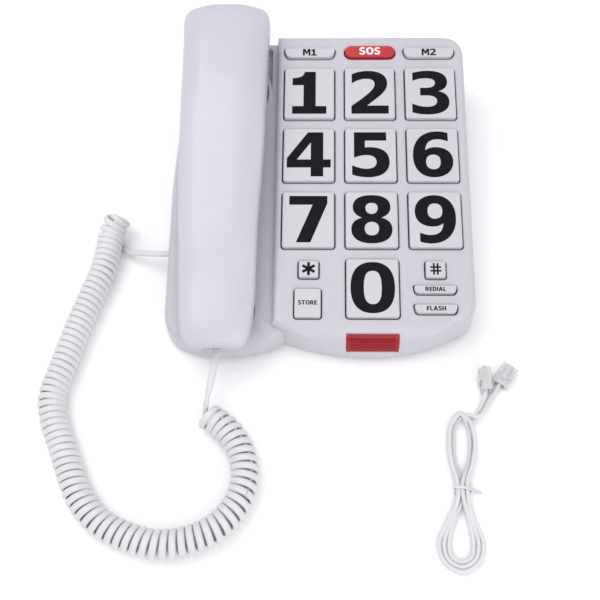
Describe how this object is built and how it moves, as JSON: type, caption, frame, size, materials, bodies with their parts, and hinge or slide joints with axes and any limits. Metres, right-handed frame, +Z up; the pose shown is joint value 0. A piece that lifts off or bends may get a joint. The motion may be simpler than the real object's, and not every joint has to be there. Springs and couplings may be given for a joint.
{
  "type": "corded desk telephone",
  "caption": "Corded big-button desk telephone: sloping base with large keys, handset resting in a cradle, curly handset cord and a folded line cord beside it.",
  "frame": {"origin": "centre of the telephone's bounding box, without its cords, on the table plane under the feet", "axes": "+X to the right as the user faces the keys, +Y to the rear, +Z up"},
  "size_m": [0.2821, 0.348, 0.0759],
  "materials": {
    "shell": "moulded white ABS with a soft sheen",
    "handset_shell": "moulded white ABS, smoother than the base",
    "key_cap": "moulded white ABS key cap",
    "sos_cap": "moulded red ABS key cap",
    "lamp_lens": "ribbed translucent red acrylic",
    "dark_plastic": "black moulded plastic",
    "clear_plastic": "clear polycarbonate",
    "cord_jacket": "white soft PVC jacket",
    "circuit_board": "green laminate",
    "silicone": "grey moulded silicone",
    "foot_rubber": "dark rubber",
    "screw_steel": "zinc-plated steel",
    "weight_iron": "plain cast weight",
    "ribbon": "flat grey ribbon cable"
  },
  "bodies": {
    "base": {"base_bottom": "shell", "base_top": "shell", "ring_lamp": "lamp_lens", "lamp_led": "clear_plastic", "base_screw_1": "screw_steel", "base_screw_2": "screw_steel", "base_screw_3": "screw_steel", "base_screw_4": "screw_steel", "foot_1": "foot_rubber", "foot_2": "foot_rubber", "foot_3": "foot_rubber", "foot_4": "foot_rubber", "base_cord_jack": "dark_plastic", "line_jack": "dark_plastic", "hook_switch": "dark_plastic", "main_board": "circuit_board", "ringer_speaker": "dark_plastic", "ballast_weight": "weight_iron", "keypad_membrane": "silicone", "keypad_board": "circuit_board", "ribbon_cable": "ribbon", "base_plug": "clear_plastic", "cord_base_lead": "cord_jacket", "cord_coil": "cord_jacket", "cord_handset_lead": "cord_jacket"},
    "handset": {"handset_back": "handset_shell", "handset_front": "handset_shell", "receiver": "dark_plastic", "microphone": "dark_plastic", "handset_weight": "weight_iron", "handset_cord_jack": "dark_plastic", "handset_screw_1": "screw_steel", "handset_screw_2": "screw_steel", "handset_plug": "clear_plastic"},
    "hook": {"hook_plunger": "key_cap"},
    "ringer_knob": {"ringer_slider": "dark_plastic"},
    "line_cord": {"line_hank": "cord_jacket", "line_tie": "cord_jacket", "line_lead_1": "cord_jacket", "line_lead_2": "cord_jacket", "line_plug_1": "clear_plastic", "line_plug_2": "clear_plastic"},
    "button_0": {"key_0": "key_cap"},
    "button_1": {"key_1": "key_cap"},
    "button_2": {"key_2": "key_cap"},
    "button_3": {"key_3": "key_cap"},
    "button_4": {"key_4": "key_cap"},
    "button_5": {"key_5": "key_cap"},
    "button_6": {"key_6": "key_cap"},
    "button_7": {"key_7": "key_cap"},
    "button_8": {"key_8": "key_cap"},
    "button_9": {"key_9": "key_cap"},
    "button_star": {"key_star": "key_cap"},
    "button_hash": {"key_hash": "key_cap"},
    "button_store": {"key_store": "key_cap"},
    "button_redial": {"key_redial": "key_cap"},
    "button_flash": {"key_flash": "key_cap"},
    "button_m1": {"key_m1": "key_cap"},
    "button_sos": {"key_sos": "sos_cap"},
    "button_m2": {"key_m2": "key_cap"}
  },
  "joints": [
    {"name": "handset_lift", "type": "slide", "parent": "base", "child": "handset", "axis": [0, 0, 1], "range_m": [0, 0.08]},
    {"name": "hook_rise", "type": "slide", "parent": "base", "child": "hook", "axis": [0, 0, 1], "range_m": [0, 0.004]},
    {"name": "ringer_volume", "type": "slide", "parent": "base", "child": "ringer_knob", "axis": [1, 0, 0], "range_m": [0, 0.003]},
    {"name": "line_cord_place", "type": "slide", "parent": "base", "child": "line_cord", "axis": [1, 0, 0], "range_m": [0, 0.1]},
    {"name": "press_0", "type": "slide", "parent": "base", "child": "button_0", "axis": [0, 0.1219, -0.9925], "range_m": [0, 0.0015], "stiffness_N_per_m": 400},
    {"name": "press_1", "type": "slide", "parent": "base", "child": "button_1", "axis": [0, 0.1219, -0.9925], "range_m": [0, 0.0015], "stiffness_N_per_m": 400},
    {"name": "press_2", "type": "slide", "parent": "base", "child": "button_2", "axis": [0, 0.1219, -0.9925], "range_m": [0, 0.0015], "stiffness_N_per_m": 400},
    {"name": "press_3", "type": "slide", "parent": "base", "child": "button_3", "axis": [0, 0.1219, -0.9925], "range_m": [0, 0.0015], "stiffness_N_per_m": 400},
    {"name": "press_4", "type": "slide", "parent": "base", "child": "button_4", "axis": [0, 0.1219, -0.9925], "range_m": [0, 0.0015], "stiffness_N_per_m": 400},
    {"name": "press_5", "type": "slide", "parent": "base", "child": "button_5", "axis": [0, 0.1219, -0.9925], "range_m": [0, 0.0015], "stiffness_N_per_m": 400},
    {"name": "press_6", "type": "slide", "parent": "base", "child": "button_6", "axis": [0, 0.1219, -0.9925], "range_m": [0, 0.0015], "stiffness_N_per_m": 400},
    {"name": "press_7", "type": "slide", "parent": "base", "child": "button_7", "axis": [0, 0.1219, -0.9925], "range_m": [0, 0.0015], "stiffness_N_per_m": 400},
    {"name": "press_8", "type": "slide", "parent": "base", "child": "button_8", "axis": [0, 0.1219, -0.9925], "range_m": [0, 0.0015], "stiffness_N_per_m": 400},
    {"name": "press_9", "type": "slide", "parent": "base", "child": "button_9", "axis": [0, 0.1219, -0.9925], "range_m": [0, 0.0015], "stiffness_N_per_m": 400},
    {"name": "press_star", "type": "slide", "parent": "base", "child": "button_star", "axis": [0, 0.1219, -0.9925], "range_m": [0, 0.0015], "stiffness_N_per_m": 400},
    {"name": "press_hash", "type": "slide", "parent": "base", "child": "button_hash", "axis": [0, 0.1219, -0.9925], "range_m": [0, 0.0015], "stiffness_N_per_m": 400},
    {"name": "press_store", "type": "slide", "parent": "base", "child": "button_store", "axis": [0, 0.1219, -0.9925], "range_m": [0, 0.0015], "stiffness_N_per_m": 400},
    {"name": "press_redial", "type": "slide", "parent": "base", "child": "button_redial", "axis": [0, 0.1219, -0.9925], "range_m": [0, 0.0015], "stiffness_N_per_m": 400},
    {"name": "press_flash", "type": "slide", "parent": "base", "child": "button_flash", "axis": [0, 0.1219, -0.9925], "range_m": [0, 0.0015], "stiffness_N_per_m": 400},
    {"name": "press_m1", "type": "slide", "parent": "base", "child": "button_m1", "axis": [0, 0.1219, -0.9925], "range_m": [0, 0.0015], "stiffness_N_per_m": 400},
    {"name": "press_sos", "type": "slide", "parent": "base", "child": "button_sos", "axis": [0, 0.1219, -0.9925], "range_m": [0, 0.0015], "stiffness_N_per_m": 400},
    {"name": "press_m2", "type": "slide", "parent": "base", "child": "button_m2", "axis": [0, 0.1219, -0.9925], "range_m": [0, 0.0015], "stiffness_N_per_m": 400}
  ],
  "couplings": [
    {"joint": "hook_rise", "follows": "handset_lift", "ratio": 0.05}
  ]
}
